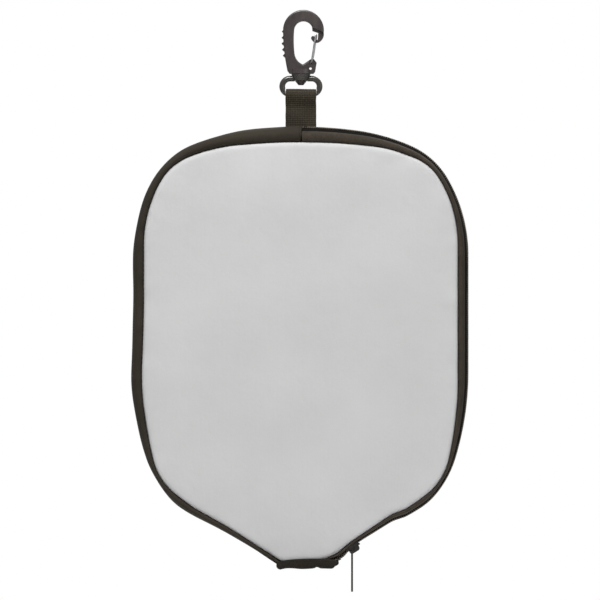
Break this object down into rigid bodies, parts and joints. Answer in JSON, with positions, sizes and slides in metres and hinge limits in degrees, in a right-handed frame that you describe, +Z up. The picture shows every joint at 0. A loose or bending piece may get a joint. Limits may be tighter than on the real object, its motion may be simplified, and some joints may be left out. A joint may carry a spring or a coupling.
{
  "type": "paddle case",
  "caption": "Soft zipped case for a pickleball paddle, open at the mouth for the handle, hung from a plastic swivel snap hook by a webbing loop.",
  "frame": {"origin": "on the swivel's axis, level with the inside top of the hook's eye, where it hangs from a peg", "axes": "+Z up along the swivel's axis, +X to the right as seen from the front, -Y out of the front face"},
  "size_m": [0.2188, 0.0214, 0.3796],
  "materials": {
    "face_neoprene": "smooth knit face, matt",
    "wall_neoprene": "smooth knit face, matt",
    "zip_tape": "woven tape, matt",
    "zip_coil": "drawn nylon, satin",
    "binding": "ribbed tape, matt",
    "webbing": "heavy plain weave, matt",
    "thread": "twisted thread, satin",
    "hook_plastic": "moulded, satin",
    "ring_plastic": "moulded, satin",
    "gate_steel": "bright drawn wire",
    "spring_steel": "rolled",
    "slider_metal": "black lacquer, satin"
  },
  "bodies": {
    "hook": {"hook_body": "hook_plastic"},
    "gate": {"wire_gate": "gate_steel"},
    "ring": {"swivel_ring": "ring_plastic"},
    "strap": {"webbing_loop": "webbing"},
    "case": {"webbing_tail": "webbing", "strap_tack": "thread", "front_panel": "face_neoprene", "back_panel": "face_neoprene", "side_gusset": "wall_neoprene", "zip_tape_front": "zip_tape", "zip_tape_back": "zip_tape", "zip_coil_front": "zip_coil", "zip_coil_back": "zip_coil", "zip_start_tack": "thread", "zip_end_tack": "thread", "mouth_binding_front": "binding", "mouth_binding_back": "binding", "seam_binding_front": "binding", "seam_binding_back": "binding", "front_seam_thread": "thread", "back_seam_thread": "thread", "gusset_end_thread": "thread", "mouth_thread": "thread"},
    "slider": {"slider_body": "slider_metal", "slider_cap": "slider_metal", "slider_lock_spring": "spring_steel"},
    "pull": {"pull_tab": "slider_metal"}
  },
  "joints": [
    {"name": "gate_hinge", "type": "hinge", "parent": "hook", "child": "gate", "pos_m": [0.0069, 0, -0.0269], "axis": [0, 1, 0], "range_deg": [-28, 0], "stiffness_Nm_per_rad": 0.1, "springref_deg": 8.59},
    {"name": "ring_swivel", "type": "hinge", "parent": "hook", "child": "ring", "pos_m": [0, 0, -0.0366], "axis": [0, 0, 1], "continuous": true},
    {"name": "strap_swing", "type": "hinge", "parent": "ring", "child": "strap", "pos_m": [0, 0, -0.0476], "axis": [1, 0, 0], "range_deg": [-75, 75]},
    {"name": "case_flex", "type": "hinge", "parent": "strap", "child": "case", "pos_m": [0, 0, -0.0676], "axis": [1, 0, 0], "range_deg": [-60, 60]},
    {"name": "zip_slide", "type": "slide", "parent": "case", "child": "slider", "axis": [0.8499, 0, 0.527], "range_m": [0, 0.022]},
    {"name": "pull_hinge", "type": "hinge", "parent": "slider", "child": "pull", "pos_m": [0.03333, -0.0044, -0.34557], "axis": [0, 1, 0], "range_deg": [-112, 45]}
  ]
}
